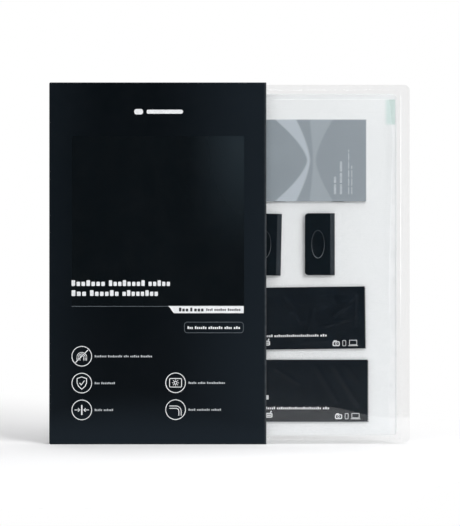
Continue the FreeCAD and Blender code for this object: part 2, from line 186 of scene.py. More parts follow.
class Finish(Nodes):
    """A material made of nodes round one main shader."""

    def __init__(self, name):
        self.material = bpy.data.materials.new(name)
        self.material.use_nodes = True
        super().__init__(self.material.node_tree)
        self.shader = self.tree.nodes["Principled BSDF"]
        self.place = self.add("TexCoord").outputs["Object"]

    def set(self, **sockets):
        """Feeds the main shader; a socket's spaces are written as underscores."""
        for key, value in sockets.items():
            self.feed(self.shader.inputs[key.replace("_", " ")], value)

    def axes(self):
        return self.add("SeparateXYZ", self.place).outputs

    def noise(self, size, detail=2.0, stretch=(1, 1, 1)):
        """Noise with blobs about size across, in metres, drawn out along the axes by stretch."""
        scale = tuple(1 / (size * part) for part in stretch)
        scaled = self.add("Mapping", sockets={"Vector": self.place, "Scale": scale})
        sockets = {"Vector": scaled.outputs[0], "Scale": 1.0, "Detail": detail}
        return self.add("TexNoise", sockets=sockets).outputs["Fac"]

    def uneven(self, least, most, size, detail=2.0):
        """A value that wanders between two levels, in soft blotches about size across."""
        return self.spread(self.noise(size, detail), NOISE_LOW, NOISE_HIGH, least, most)

    def cells(self, size):
        """Small rounded cells about size across, in metres."""
        sockets = {"Vector": self.place, "Scale": 1 / size}
        return self.add("TexVoronoi", sockets=sockets, feature="SMOOTH_F1").outputs["Distance"]

    def bump(self, height, distance, strength=1.0):
        """Fine relief, as deep as distance in metres."""
        sockets = {"Strength": strength, "Distance": distance, "Height": height}
        self.set(Normal=self.add("Bump", sockets=sockets).outputs[0])
        return self

    def show(self, share, first, second):
        """Shows the first shader where share is nought and the second where it is one."""
        either = self.add("MixShader", share, first.outputs[0], second.outputs[0])
        self.feed(self.tree.nodes["Material Output"].inputs["Surface"], either.outputs[0])

    def thin_and_clear(self, tint, least):
        """A thin clear wall: things show through unbent, and its gloss grows towards grazing angles."""
        most = 0.9
        rise = 5.0
        self.set(Base_Color=srgb(250, 251, 252), Metallic=1.0)
        facing = self.add("LayerWeight").outputs["Facing"]
        steep = self.math("POWER", facing, rise)
        gloss = self.math("MULTIPLY_ADD", steep, most - least, least)
        self.show(gloss, self.add("BsdfTransparent", tint), self.shader)
        return self

    def worn(self, first, second, size):
        """Two close colours in soft blotches."""
        return self.blend(self.spread(self.noise(size, 3.0), 0.35, 0.65), srgb(*first), srgb(*second))


def sleeve_finish():
    """Matt black print outside, grey board at the cut mouth and inside; the black is painted lighter
    towards the sides as sheen and towards the foot as a reflection of the floor.
    """
    low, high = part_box("card_sleeve")
    finish = Finish("sleeve_board")
    x, y, z = finish.axes()
    coat = 0.4 * MM
    board = 1.0 * MM
    hidden = finish.math("LESS_THAN", finish.math("ABSOLUTE", y), high.y - board + coat)
    for test, place, limit in (
        ("GREATER_THAN", z, low.z + board - coat),
        ("LESS_THAN", z, high.z - board + coat),
        ("GREATER_THAN", x, low.x + board - coat),
    ):
        hidden = finish.times(hidden, finish.math(test, place, limit))
    mouth = finish.math("GREATER_THAN", x, high.x - 0.02 * MM)
    bare = finish.math("MAXIMUM", hidden, mouth)
    # painted sheen: the black grows lighter away from a dark line left of the middle, and lighter towards
    # the foot as a painted reflection of the floor
    darkest = (low.x + high.x) / 2 - 28 * MM
    away = finish.math("ABSOLUTE", finish.math("SUBTRACT", x, darkest))
    sides = finish.spread(away, 20 * MM, 140 * MM, 0.0, 0.75)
    foot = finish.spread(z, low.z, low.z + 60 * MM, 1.0, 0.0)
    painted_sheen = finish.math("MAXIMUM", sides, foot)
    black = finish.worn((3, 9, 14), (5, 11, 16), 40 * MM)
    black = finish.blend(painted_sheen, black, srgb(23, 31, 38))
    fibre = finish.noise(0.6 * MM, 3.0, (3, 1, 1))
    board_colour = finish.blend(fibre, srgb(128, 130, 131), srgb(158, 159, 158))
    rub = finish.spread(x, high.x - 2.6 * MM, high.x - 0.3 * MM, 0.0, 0.28)
    scuff = finish.times(rub, finish.spread(finish.noise(5 * MM), 0.3, 0.6, 0.6, 1.0))
    # the scuffed print still carries the painted sheen and the painted floor reflection
    printed = finish.blend(scuff, black, srgb(118, 121, 124))
    finish.set(Base_Color=finish.blend(bare, printed, board_colour), Specular_IOR_Level=0.08)
    finish.set(Roughness=finish.uneven(0.46, 0.54, 9 * MM, 4.0))
    return finish.bump(finish.noise(0.35 * MM, 3.0), 0.012 * MM)


def clear_finish():
    """Formed clear plastic with faint waves in it."""
    finish = Finish("clear_sheet")
    finish.set(Roughness=finish.uneven(0.012, 0.04, 14 * MM, 3.0))
    finish.bump(finish.noise(40 * MM, 1.0), 0.02 * MM)
    return finish.thin_and_clear(srgb(253, 253, 253), 0.025)


def plain_finish(name, first, second, size, *roughness):
    """Two close colours in soft blotches, with a roughness as Finish.uneven takes it."""
    finish = Finish(name)
    finish.set(Base_Color=finish.worn(first, second, size), Roughness=finish.uneven(*roughness))
    return finish


def glass_finish():
    """Clear glass with a faint green tint."""
    finish = Finish("tempered_glass")
    finish.set(Roughness=finish.uneven(0.01, 0.04, 25 * MM))
    return finish.thin_and_clear(srgb(244, 252, 249), 0.02)


def foam_finish(name, tab=None):
    """White foam sheet: small closed cells in faint rows, tinted where a green tab lies under it."""
    finish = Finish(name)
    x, _, z = finish.axes()
    row_pitch = 2.1 * MM
    row_relief = 0.16
    grain_relief = 0.8
    tab_tint = 0.7
    rows = finish.math("SINE", finish.times(z, 2 * math.pi / row_pitch))
    cells = finish.cells(1.5 * MM)
    grain = finish.noise(0.9 * MM, 3.0, (2.4, 1, 1))
    relief = finish.math("ADD", finish.times(rows, row_relief), cells)
    relief = finish.math("ADD", relief, finish.times(grain, grain_relief))
    white = finish.blend(finish.spread(grain, 0.25, 0.75), srgb(234, 237, 238), srgb(244, 246, 247))
    if tab:
        low, high = tab
        blur = 2.5 * MM
        under = finish.spread(x, low.x - blur, low.x + blur)
        under = finish.times(under, finish.spread(z, low.z - blur, low.z + blur))
        under = finish.times(under, finish.spread(z, high.z - blur, high.z + blur, 1.0, 0.0))
        white = finish.blend(finish.times(under, tab_tint), white, srgb(204, 226, 222))
    finish.set(Base_Color=white)
    finish.set(Roughness=finish.spread(grain, NOISE_LOW, NOISE_HIGH, 0.55, 0.75), Specular_IOR_Level=0.35)
    return finish.bump(relief, 0.06 * MM, 0.6)


def booklet_finish():
    """Satin grey cover with two soft, lighter bands that are pinched at half height."""
    low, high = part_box("booklet_cover")
    finish = Finish("grey_cover")
    x, _, z = finish.axes()
    across = finish.spread(x, low.x, high.x, straight=True)
    up = finish.spread(z, low.z, high.z, -1.0, 1.0, straight=True)
    pinch = finish.math("POWER", finish.math("ABSOLUTE", up), 1.5)
    grey = finish.worn((147, 157, 164), (151, 161, 168), 30 * MM)
    printed = finish.blend(across, grey, srgb(151, 160, 167))
    soft = 0.012
    for middle, swing, width, colour in (
        (0.5, -0.2, 0.08, (190, 199, 207)),
        (0.55, 0.06, 0.09, (166, 175, 182)),
    ):
        off = finish.math("SUBTRACT", across, finish.math("MULTIPLY_ADD", pinch, swing, middle))
        half = finish.math("MULTIPLY_ADD", pinch, width, soft)
        beyond = finish.math("SUBTRACT", finish.math("ABSOLUTE", off), half)
        printed = finish.blend(finish.spread(beyond, -soft, soft, 1.0, 0.0), printed, srgb(*colour))
    start, end = 0.9 * MM, 0.1 * MM
    edge = finish.spread(x, high.x - start, high.x - end)
    edge = finish.math("MAXIMUM", edge, finish.spread(z, high.z - start, high.z - end))
    pale_edge = 0.7
    finish.set(Base_Color=finish.blend(finish.times(edge, pale_edge), printed, srgb(228, 231, 233)))
    finish.set(Roughness=finish.uneven(0.36, 0.46, 3 * MM, 3.0))
    return finish.bump(finish.noise(0.5 * MM, 3.0), 0.01 * MM)


def paper_finish():
    """White paper, with the edges of its leaves as fine lines."""
    finish = Finish("white_paper")
    y = finish.axes()[1]
    leaf = 0.1 * MM
    lines = finish.math("SINE", finish.times(y, 2 * math.pi / leaf))
    tone = finish.spread(lines, -1.0, 1.0)
    finish.set(Base_Color=finish.blend(tone, srgb(222, 222, 219), srgb(240, 240, 238)))
    finish.set(Roughness=finish.uneven(0.6, 0.75, 2 * MM, 3.0))
    return finish.bump(lines, 0.02 * MM)


def steel_finish():
    """Drawn steel wire with fine streaks."""
    finish = Finish("staple_wire")
    streaks = finish.noise(0.2 * MM, 3.0, (6, 1, 1))
    finish.set(Base_Color=finish.blend(streaks, srgb(176, 178, 180), srgb(206, 207, 208)))
    finish.set(Metallic=1.0, Roughness=finish.spread(streaks, NOISE_LOW, NOISE_HIGH, 0.22, 0.4))
    return finish


def plastic_finish(node):
    """Black moulded plastic with a fine satin grain, painted a little paler along the bevelled blade as a
    highlight.
    """
    low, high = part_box(node)
    lean = math.radians(SQUEEGEE_LEAN[node])
    finish = Finish(f"{node}_plastic")
    x, _, z = finish.axes()
    across = finish.times(finish.math("SUBTRACT", x, (low.x + high.x) / 2), math.cos(lean))
    up = finish.times(finish.math("SUBTRACT", z, (low.z + high.z) / 2), math.sin(lean))
    across = finish.math("SUBTRACT", across, up)
    blade_start = SQUEEGEE_WIDTH / 2 - BLADE_WIDTH
    blur = 0.1 * MM
    # painted highlight: the bevelled blade is paler, where its bevel catches the light from the right
    blade_highlight = finish.spread(across, blade_start - blur, blade_start + blur)
    black = finish.worn((8, 19, 26), (11, 22, 29), 12 * MM)
    finish.set(Base_Color=finish.blend(blade_highlight, black, srgb(38, 45, 51)))
    finish.set(Roughness=finish.uneven(0.36, 0.46, 5 * MM, 3.0), Specular_IOR_Level=0.12)
    return finish.bump(finish.noise(0.3 * MM), 0.012 * MM)


def rim_finish():
    """Black plastic, painted pale towards the lower end of the dish as a highlight where the rim faces up
    to the light.
    """
    low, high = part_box("right_squeegee")
    finish = Finish("rim_plastic")
    z = finish.axes()[2]
    height = high.z - low.z
    # painted highlight on the lower part of the rim, which is also given a smoother roughness there
    rim_highlight = finish.spread(z, low.z + 0.2 * height, low.z + 0.6 * height, 1.0, 0.0)
    black = finish.worn((48, 55, 61), (56, 63, 69), 3 * MM)
    finish.set(Base_Color=finish.blend(rim_highlight, black, srgb(124, 131, 137)))
    finish.set(Roughness=finish.spread(rim_highlight, 0.0, 1.0, 0.5, 0.32))
    return finish


def sachet_finish():
    """Black metallised film: satin, with fine crinkles."""
    finish = Finish("black_film")
    finish.set(Base_Color=finish.worn((5, 17, 26), (9, 21, 30), 18 * MM))
    finish.set(Roughness=finish.uneven(0.34, 0.44, 7 * MM, 3.0), Specular_IOR_Level=0.3)
    crinkle = finish.math("ADD", finish.noise(5 * MM, 3.0), finish.noise(1.2 * MM))
    return finish.bump(crinkle, 0.08 * MM)


def cloth_finish():
    """Thin nonwoven cloth."""
    finish = Finish("wipe_cloth")
    fibres = finish.noise(0.5 * MM, 4.0, (1, 1, 3))
    finish.set(Base_Color=finish.blend(fibres, srgb(214, 217, 219), srgb(238, 240, 241)))
    finish.set(Roughness=finish.spread(fibres, NOISE_LOW, NOISE_HIGH, 0.75, 0.95))
    return finish.bump(fibres, 0.08 * MM)


def varnish_finish(left, bottom, right, top):
    """Gloss varnish over a dark screen, with a painted reflection: its colour grows lighter towards the
    upper right corner.
    """
    finish = Finish("gloss_varnish")
    x, _, z = finish.axes()
    # painted reflection of a soft light: the colour is lighter towards the upper right corner
    across = finish.spread(x, right - 0.36 * (right - left), right + 2 * MM)
    up = finish.spread(z, bottom + 0.2 * (top - bottom), top + 8 * MM)
    sheen = finish.times(across, up)
    black = finish.worn((7, 13, 17), (9, 15, 19), 50 * MM)
    finish.set(Base_Color=finish.blend(sheen, black, srgb(33, 42, 48)), Specular_IOR_Level=0.4)
    finish.set(Roughness=finish.uneven(0.2, 0.27, 12 * MM, 3.0))
    return finish.bump(finish.noise(1.6 * MM, 3.0), 0.01 * MM)


def dress(finish, *nodes):
    """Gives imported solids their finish."""
    for node in nodes:
        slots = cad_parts[node].data.materials
        slots.clear()
        slots.append(finish.material)


def add_object(name, data):
    """A new object in the scene."""
    item = bpy.data.objects.new(name, data)
    bpy.context.scene.collection.objects.link(item)
    return item


def make_piece(name, mesh, body, finish, smooth=True, outward=True):
    if outward:
        bmesh.ops.recalc_face_normals(mesh, faces=mesh.faces)
    data = bpy.data.meshes.new(name)
    mesh.to_mesh(data)
    mesh.free()
    if smooth:
        data.shade_smooth()
        data.set_sharp_from_angle(angle=SHARP_ANGLE)
    data.materials.append(finish.material)
    piece = add_object(name, data)
    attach(piece, body)
    return piece


def skin(columns, rows, front, back):
    """A closed sheet from a front and a back surface, each a function of a column and a row place."""
    mesh = bmesh.new()
    layers = []
    for surface in (front, back):
        layers.append([[mesh.verts.new(surface(u, v)) for u in columns] for v in rows])
    last_u = len(columns) - 1
    last_v = len(rows) - 1
    for layer in layers:
        for v in range(last_v):
            for u in range(last_u):
                mesh.faces.new((layer[v][u], layer[v][u + 1], layer[v + 1][u + 1], layer[v + 1][u]))
    rim = [(0, u) for u in range(last_u)]
    rim += [(v, last_u) for v in range(last_v)]
    rim += [(last_v, u) for u in range(last_u, 0, -1)]
    rim += [(v, 0) for v in range(last_v, 0, -1)]
    for (v, u), (next_v, next_u) in zip(rim, rim[1:] + rim[:1]):
        near, far = layers
        mesh.faces.new((near[v][u], near[next_v][next_u], far[next_v][next_u], far[v][u]))
    return mesh


def stops(length, step, rim=()):
    """Places along a side: a few near both ends, given by rim, and even steps between them."""
    inset = rim[-1] if rim else 0.0
    count = max(1, round((length - 2 * inset) / step))
    middle = [inset + (length - 2 * inset) * i / count for i in range(count + 1)]
    outer = [0.0, *rim[:-1]] if rim else []
    return outer + middle + [length - place for place in reversed(outer)]


def between(place, points):
    """A smooth curve through a few (place, value) points, level beyond its ends."""
    if place <= points[0][0]:
        return points[0][1]
    for (start, first), (end, second) in zip(points, points[1:]):
        if place <= end:
            return first + (second - first) * ease((place - start) / (end - start))
    return points[-1][1]


def make_cover_foam(finish):
    """The thin foam sheet that the accessories lie on; its right edge wanders and curls up a little."""
    low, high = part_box("cover_foam_sheet")
    length = high.x - low.x
    height = high.z - low.z
    edge_shift = [(0, -1.6), (40, -3.4), (95, -1.0), (150, -2.8), (205, -1.8), (262, -0.4), (308, 1.2),
                  (336, -1.6), (349, -3.4)]
    edge_lift = [(0, 0.25), (60, 0.5), (140, 0.35), (230, 0.6), (290, 1.3), (325, 0.8), (349, 0.2)]
    curl_width = 11 * MM
    curl_share = 0.6
    dent_depth = 0.12 * MM
    edge_depth = 0.12 * MM
    edge_width = 0.25 * MM

    def wander(u, v):
        return low.x + u + between(v / MM, edge_shift) * MM * ease((u / length - 0.8) / 0.2)

    def lift(u, v):
        curl = ease(1 - (length - u) / curl_width) ** 2
        return curl_share * between(v / MM, edge_lift) * MM * curl

    def dent(u, v):
        return dent_depth * wave(Vector((u, v, 0)), 38 * MM)

    def rounded(u, v):
        edge = min(u, v, length - u, height - v)
        return edge_depth * (1 - ease(edge / edge_width))

    def front(u, v):
        return Vector((wander(u, v), low.y - lift(u, v) + dent(u, v) + rounded(u, v), low.z + v))

    def back(u, v):
        return Vector((wander(u, v), high.y - lift(u, v) - rounded(u, v), low.z + v))

    rim = (0.1 * MM, edge_width, 0.4 * MM, 2.0 * MM)
    mesh = skin(stops(length, 2.2 * MM, rim), stops(height, 3.2 * MM, rim), front, back)
    piece = make_piece("cover_foam", mesh, "case", finish)
    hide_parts("cover_foam_sheet")


def make_base_foam(finish):
    """The foam block in the tray, with soft edges and a slightly uneven face."""
    low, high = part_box("base_foam_pad")
    length = high.x - low.x
    height = high.z - low.z
    soft = 0.4 * MM
    corner = 3.0 * MM
    dent_depth = 0.1 * MM
    step = 8 * MM

    def clipped(u, v):
        """Pulls a point of the grid's corner in onto the corner's round."""
        x = min(max(u, corner), length - corner)
        z = min(max(v, corner), height - corner)
        away = Vector((u - x, v - z))
        reach = max(abs(away.x), abs(away.y))
        if away.length > 1e-9:
            away = away.normalized() * reach
        return x + away.x, z + away.y

    def face(u, v, side):
        x, z = clipped(u, v)
        edge = min(u, v, length - u, height - v)
        fall = soft * (1 - math.sqrt(max(0.0, 1 - (1 - min(edge / soft, 1.0)) ** 2)))
        uneven = dent_depth * wave(Vector((x, z, side)), 30 * MM)
        sunk = fall + uneven * ease(edge / (6 * MM))
        y = low.y + sunk if side == 0 else high.y - sunk
        return Vector((low.x + x, y, low.z + z))

    rim = tuple(share * soft for share in (0.08, 0.3, 0.6, 1.0)) + (corner,)
    mesh = skin(
        stops(length, step, rim),
        stops(height, step, rim),
        lambda u, v: face(u, v, 0),
        lambda u, v: face(u, v, 1),
    )
    piece = make_piece("base_foam", mesh, "case", finish)
    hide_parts("base_foam_pad")


class Sachet:
    """A film pouch with toothed ends, with two folded cloths and a sheet of stickers in it.

    Its sealed rim stands a little off the foam. Places are given across and up from its lower left corner.
    """

    LENGTH = 125 * MM
    HEIGHT = 64.4 * MM
    FILM = 0.1 * MM
    SEAL_FILM = 0.4 * MM
    END_SEAL = 6 * MM
    SIDE_SEAL = 2.5 * MM
    TEETH = 26
    ROWS_PER_TOOTH = 4
    TOOTH_DEPTH = 1.1 * MM
    EDGE_LIFT = 1.4 * MM
    SLOPE = 4 * MM
    PACK_SWELL = 0.6
    STICKER_SWELL = 0.08
    STICKER_BLUR = 6 * MM
    PLEAT = 9 * MM
    CLOTH_DEPTH = 0.78 * MM
    GRID = 1.1 * MM

    def __init__(self, row, lean, seed, bulges, folds):
        low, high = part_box(f"{row}_sachet_pouch")
        self.row = row
        self.middle = (low + high) / 2
        self.back = high.y
        self.bulge = high.y - low.y - self.SEAL_FILM
        self.turn = Matrix.Rotation(math.radians(lean), 3, "Y")
        self.seed = seed
        self.bulges = bulges
        self.folds = folds
        self.stickers = self.local_box("dust_stickers")

    @staticmethod
    def local_box(content):
        """A content's left, bottom, right and top in a sachet, as in the lower one, which lies level."""
        low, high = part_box(f"lower_{content}")
        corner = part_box("lower_sachet_pouch")[0]
        return low.x - corner.x, low.z - corner.z, high.x - corner.x, high.z - corner.z

    def past_seal(self, u, v):
        """How far inside the end seals and the side seals a place is."""
        return min(u, self.LENGTH - u) - self.END_SEAL, min(v, self.HEIGHT - v) - self.SIDE_SEAL

    def swell(self, u, v):
        """How far the front film stands off the seal, from 0 to 1, at a place on the sachet."""
        end, side = self.past_seal(u, v)
        rim = min(end, side)
        if rim <= 0:
            return 0.0
        swell = self.PACK_SWELL * ease(rim / self.SLOPE)
        left, bottom, right, top = self.stickers
        inside = min(u - left, right - u, v - bottom, top - v)
        swell += self.STICKER_SWELL * ease((inside + self.STICKER_BLUR) / self.STICKER_BLUR)
        depth = self.seed * MM
        loose = 0.05 * wave(Vector((u, v, depth)), 26 * MM)
        # small pleats start at the seals and fade away from them
        end_pleats = wave(Vector((0.6 * u, 2.2 * v, depth)), self.PLEAT)
        side_pleats = wave(Vector((2.4 * u, 0.5 * v, depth)), self.PLEAT)
        loose += 0.07 * end_pleats * math.exp(-end / (12 * MM)) * ease(end / (2 * MM))
        loose += 0.05 * side_pleats * math.exp(-side / (8 * MM)) * ease(side / (2 * MM))
        for left, bottom, right, top, rise in self.bulges:
            inside = min(u - left * MM, right * MM - u, v - bottom * MM, top * MM - v)
            loose += rise * ease(inside / (3 * MM) + 0.5)
        for u0, v0, u1, v1, rise, width in self.folds:
            start = Vector((u0, v0)) * MM
            run = Vector((u1, v1)) * MM - start
            share = (Vector((u, v)) - start).dot(run) / run.length_squared
            off = (Vector((u, v)) - start - run * min(max(share, 0), 1)).length
            loose += rise * math.exp(-((off / (width * MM)) ** 2))
        return min(swell + loose * ease(rim / (5 * MM)), 1.0)

    def place(self, u, v, y):
        flat = Vector((u - self.LENGTH / 2, 0, v - self.HEIGHT / 2))
        turned = self.turn @ flat
        return Vector((self.middle.x + turned.x, y, self.middle.z + turned.z))

    def toothed(self, u, v):
        """Moves the places at both ends onto the teeth, which are as wide as the gaps between them."""
        phase = (v / self.HEIGHT * self.TEETH + 0.5 / self.ROWS_PER_TOOTH) % 1.0
        notch = self.TOOTH_DEPTH if phase > 0.5 else 0.0
        if u <= 0:
            return notch
        if u >= self.LENGTH:
            return self.LENGTH - notch
        return u

    def back_y(self, u, v):
        """How far back the pouch reaches: to the foam, and less far at its rim."""
        return self.back - self.EDGE_LIFT * (1 - ease(min(self.past_seal(u, v)) / self.SLOPE))

    def front_y(self, u, v):
        return self.back_y(u, v) - self.SEAL_FILM - self.bulge * self.swell(u, v)

    def make_pouch(self, finish):
        """The film, with a hollow in it for the contents."""
        rows = self.TEETH * self.ROWS_PER_TOOTH
        heights = [self.HEIGHT * i / rows for i in range(rows + 1)]
        mesh = skin(
            stops(self.LENGTH, self.GRID, (2.8 * MM,)),
            heights,
            lambda u, v: self.place(self.toothed(u, v), v, self.front_y(u, v)),
            lambda u, v: self.place(self.toothed(u, v), v, self.back_y(u, v)),
        )
        bmesh.ops.recalc_face_normals(mesh, faces=mesh.faces)
        hollow = skin(
            [self.END_SEAL + u for u in stops(self.LENGTH - 2 * self.END_SEAL, self.GRID)],
            [self.SIDE_SEAL + v for v in stops(self.HEIGHT - 2 * self.SIDE_SEAL, self.GRID)],
            lambda u, v: self.place(u, v, self.front_y(u, v) + self.FILM),
            lambda u, v: self.place(u, v, self.back_y(u, v) - self.FILM),
        )
        bmesh.ops.recalc_face_normals(hollow, faces=hollow.faces)
        bmesh.ops.reverse_faces(hollow, faces=hollow.faces)
        shell = bpy.data.meshes.new("hollow")
        hollow.to_mesh(shell)
        hollow.free()
        mesh.from_mesh(shell)
        bpy.data.meshes.remove(shell)
        piece = make_piece(f"{self.row}_sachet", mesh, "case", finish, outward=False)
        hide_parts(f"{self.row}_sachet_pouch")

    def make_stickers(self, finish):
        """A backing sheet with two columns of stickers, which lies on the dry cloth."""
        left, bottom, right, top = self.stickers
        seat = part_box(f"{self.row}_dry_cloth")[1].y - self.CLOTH_DEPTH
        backing = 0.08 * MM
        sticker = 0.06 * MM
        margin = 3 * MM
        columns = 2
        rows = 3
        pitch_u = (right - left - margin) / columns
        pitch_v = (top - bottom - margin) / rows

        def level(u, v):
            over_u = (u - left - margin / 2) % pitch_u
            over_v = (v - bottom - margin / 2) % pitch_v
            edge = min(over_u, pitch_u - over_u, over_v, pitch_v - over_v) - margin / 2
            rim = min(u - left, right - u, v - bottom, top - v)
            return backing + (sticker if edge > 0 and rim > margin / 2 else 0.0)

        fine = 0.5 * MM
        mesh = skin(
            [left + u for u in stops(right - left, fine)],
            [bottom + v for v in stops(top - bottom, fine)],
            lambda u, v: self.place(u, v, seat - level(u, v)),
            lambda u, v: self.place(u, v, seat),
        )
        piece = make_piece(f"{self.row}_sticker_sheet", mesh, "case", finish, smooth=False)
        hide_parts(f"{self.row}_dust_stickers")

    def make_cloth(self, content, finish):
        """A cloth folded once upwards and then once across, so that it lies four deep."""
        left, bottom, right, top = self.local_box(content)
        node = f"{self.row}_{content}"
        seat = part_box(node)[1].y
        inset = 2 * MM
        thick = 0.16 * MM
        gap = 0.03 * MM
        half_pair = (thick + gap) / 2
        run = right - left - 2 * inset - 4 * half_pair
        rise = top - bottom - 2 * inset - half_pair
        first_turn = math.pi * half_pair
        second_turn = math.pi * 2 * half_pair

        def bent(place, straight, turn, radius):
            """A point and a normal on a strip that goes up, turns back and comes down again."""
            if place <= straight:
                return (place, -radius), (0.0, -1.0)
            if place >= straight + turn:
                return (2 * straight + turn - place, radius), (0.0, 1.0)
            angle = math.pi * ((place - straight) / turn - 0.5)
            return (straight + radius * math.cos(angle), radius * math.sin(angle)), (
                math.cos(angle), math.sin(angle))

        def spot(across, up, side):
            (height, level), (tip, face) = bent(up, rise, first_turn, half_pair)
            level += face * side * thick / 2
            height += tip * side * thick / 2
            (reach, depth), (out, away) = bent(across, run, second_turn, 2 * half_pair)
            u = left + inset + reach + out * level
            y = seat - 4 * half_pair + depth + away * level
            ripple = 0.3 * MM * noise.noise(Vector((across, up, self.seed * MM)) / (14 * MM))
            return self.place(u + ripple, bottom + inset + height + ripple, y)

        turn_steps = 6
        step = 3 * MM
        across = stops(run, step) + [run + second_turn * i / turn_steps for i in range(1, turn_steps)]
        across += [run + second_turn + place for place in stops(run, step)]
        up = stops(rise, step) + [rise + first_turn * i / turn_steps for i in range(1, turn_steps)]
        up += [rise + first_turn + place for place in stops(rise, step)]
        mesh = skin(across, up, lambda u, v: spot(u, v, 1), lambda u, v: spot(u, v, -1))
        piece = make_piece(f"{self.row}_folded_{content}", mesh, "case", finish)
        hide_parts(node)


class Print:
    """Printed shapes on a face that looks towards -Y, gathered into one piece."""

    def __init__(self, spot, ink, step=None):
        self.mesh = bmesh.new()
        self.spot = spot
        self.ink = ink
        self.step = step

    def refine(self, upper, lower, closed):
        """Adds sections between those that are further apart than the print's step."""
        fine = ([], [])
        count = len(upper)
        for index in range(count):
            following = (index + 1) % count
            last = index == count - 1 and not closed
            span = 0.0 if last else (Vector(upper[following]) - Vector(upper[index])).length
            parts = max(1, math.ceil(span / self.step))
            for part in range(parts):
                for row, points in zip(fine, (upper, lower)):
                    here, there = Vector(points[index]), Vector(points[following])
                    row.append(tuple(here.lerp(there, part / parts)))
        return fine

    def band(self, upper, lower, closed=False):
        """A printed band between two rows of (across, up) points in millimetres."""
        if self.step:
            upper, lower = self.refine(upper, lower, closed)
        sections = []
        for pair in zip(upper, lower):
            seats = [self.spot(across * MM, up * MM) for across, up in pair]
            raised = [seat - Vector((0, self.ink, 0)) for seat in seats]
            corners = (raised[0], raised[1], seats[1], seats[0])
            sections.append([self.mesh.verts.new(corner) for corner in corners])
        following = sections[1:] + sections[:1] if closed else sections[1:]
        for here, there in zip(sections, following):
            for corner in range(4):
                beside = (corner + 1) % 4
                self.mesh.faces.new((here[corner], here[beside], there[beside], there[corner]))
        if not closed:
            self.mesh.faces.new(sections[0])
            self.mesh.faces.new(sections[-1])

    def bar(self, left, bottom, right, top, radius, step=2.0):
        """A bar with rounded corners."""
        round_steps = 4
        blunt = 0.98
        ends = [radius * (1 - math.cos(math.pi / 2 * i / round_steps)) for i in range(round_steps + 1)]
        count = max(1, round((right - left - 2 * radius) / step))
        middle = [left + radius + (right - left - 2 * radius) * i / count for i in range(1, count)]
        across = [left + end for end in ends] + middle + [right - end for end in reversed(ends)]
        upper, lower = [], []
        for place in across:
            inset = radius - min(place - left, right - place, radius)
            trim = radius - math.sqrt(max(0.0, radius**2 - inset**2)) * blunt
            upper.append((place, top - trim))
            lower.append((place, bottom + trim))
        self.band(upper, lower)

    def words(self, left, bottom, height, lengths, gap):
        """A line of type shown as plain blocks, tall and low ones, in words of these lengths."""
        low = 0.74
        rise = (1.0, low, low, 1.0, low, low, low)
        widest = 0.8 * height
        filled = 0.72
        radius = 0.12 * height
        turn = 0
        for length in lengths:
            count = max(1, round(length / widest))
            pitch = length / count
            for letter in range(count):
                start = left + pitch * letter
                top = bottom + height * rise[turn % len(rise)]
                self.bar(start, bottom, start + filled * pitch, top, radius, height)
                turn += 1
            left += length + gap

    def stroke(self, points, width, closed=False):
        """A line of even width along a row of points, with its mitres kept short."""
        sharpest = 0.4
        count = len(points)
        upper, lower = [], []
        for index, point in enumerate(points):
            before = points[(index - 1) % count] if closed or index > 0 else point
            after = points[(index + 1) % count] if closed or index < count - 1 else point
            here = Vector(point)
            first = (here - Vector(before)).normalized() if before != point else None
            second = (Vector(after) - here).normalized() if after != point else None
            first = first or second
            second = second or first
            along = (first + second).normalized()
            normal = Vector((-along.y, along.x))
            half = width / 2 / max(sharpest, along.dot(first))
            upper.append(tuple(here + normal * half))
            lower.append(tuple(here - normal * half))
        self.band(upper, lower, closed)

    def ring(self, middle, radius, width, start=0.0, turn=360.0, steps=48):
        """The line of a circle or of an arc."""
        whole = turn >= 360
        points = arc(middle, radius, start, turn, steps)
        self.stroke(points[:-1] if whole else points, width, closed=whole)

    def frame(self, left, bottom, right, top, radius, width):
        """The outline of a box with rounded corners."""
        points = []
        corner_steps = 6
        corners = (
            (right - radius, top - radius, 0),
            (left + radius, top - radius, 90),
            (left + radius, bottom + radius, 180),
            (right - radius, bottom + radius, 270),
        )
        for across, up, start in corners:
            points += arc((across, up), radius, start, 90, corner_steps)
        self.stroke(points, width, closed=True)

    def make(self, name, body, finish, slot):
        make_piece(name, self.mesh, body, finish, smooth=False)


def on_sleeve(across, up):
    """A place on the sleeve's front, from its left edge and its foot."""
    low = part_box("card_sleeve")[0]
    return Vector((low.x + across, low.y, low.z + up))


# generic marks round a middle at x and z, in millimetres


def draw_smudge_mark(art, x, z, line):
    start = 10
    for radius in (1.9, 3.5, 5.1):
        art.ring((x, z - 1.2), radius, line, start, 180 - 2 * start, 20)
        for side in (-1, 1):
            foot = x + side * radius * math.cos(math.radians(start))
            art.stroke([(foot, z - 1.2), (foot * 0.98 + x * 0.02, z - 4.4)], line)
    art.stroke([(x - 6.6, z - 6.6), (x + 6.6, z + 6.6)], line * 1.4)


def draw_shield(art, x, z, line):
    sides = [(0, 6.4), (4.9, 4.7), (4.9, 0.2), (3.4, -3.4)]
    sides += [(0, -6.4), (-3.4, -3.4), (-4.9, 0.2), (-4.9, 4.7)]
    art.stroke([(x + across, z + up) for across, up in sides], line * 1.3, closed=True)
    art.stroke([(x - 2.4, z + 0.2), (x - 0.6, z - 1.9), (x + 2.7, z + 2.5)], line * 1.3)


def draw_thin_sheet(art, x, z, line):
    art.bar(x - 0.7, z - 5.2, x + 0.7, z + 5.2, 0.3)
    for side in (-1, 1):
        art.stroke([(x + side * 7.4, z), (x + side * 2.0, z)], line * 1.2)
        art.stroke([(x + side * 4.0, z + 1.8), (x + side * 2.0, z), (x + side * 4.0, z - 1.8)], line * 1.2)


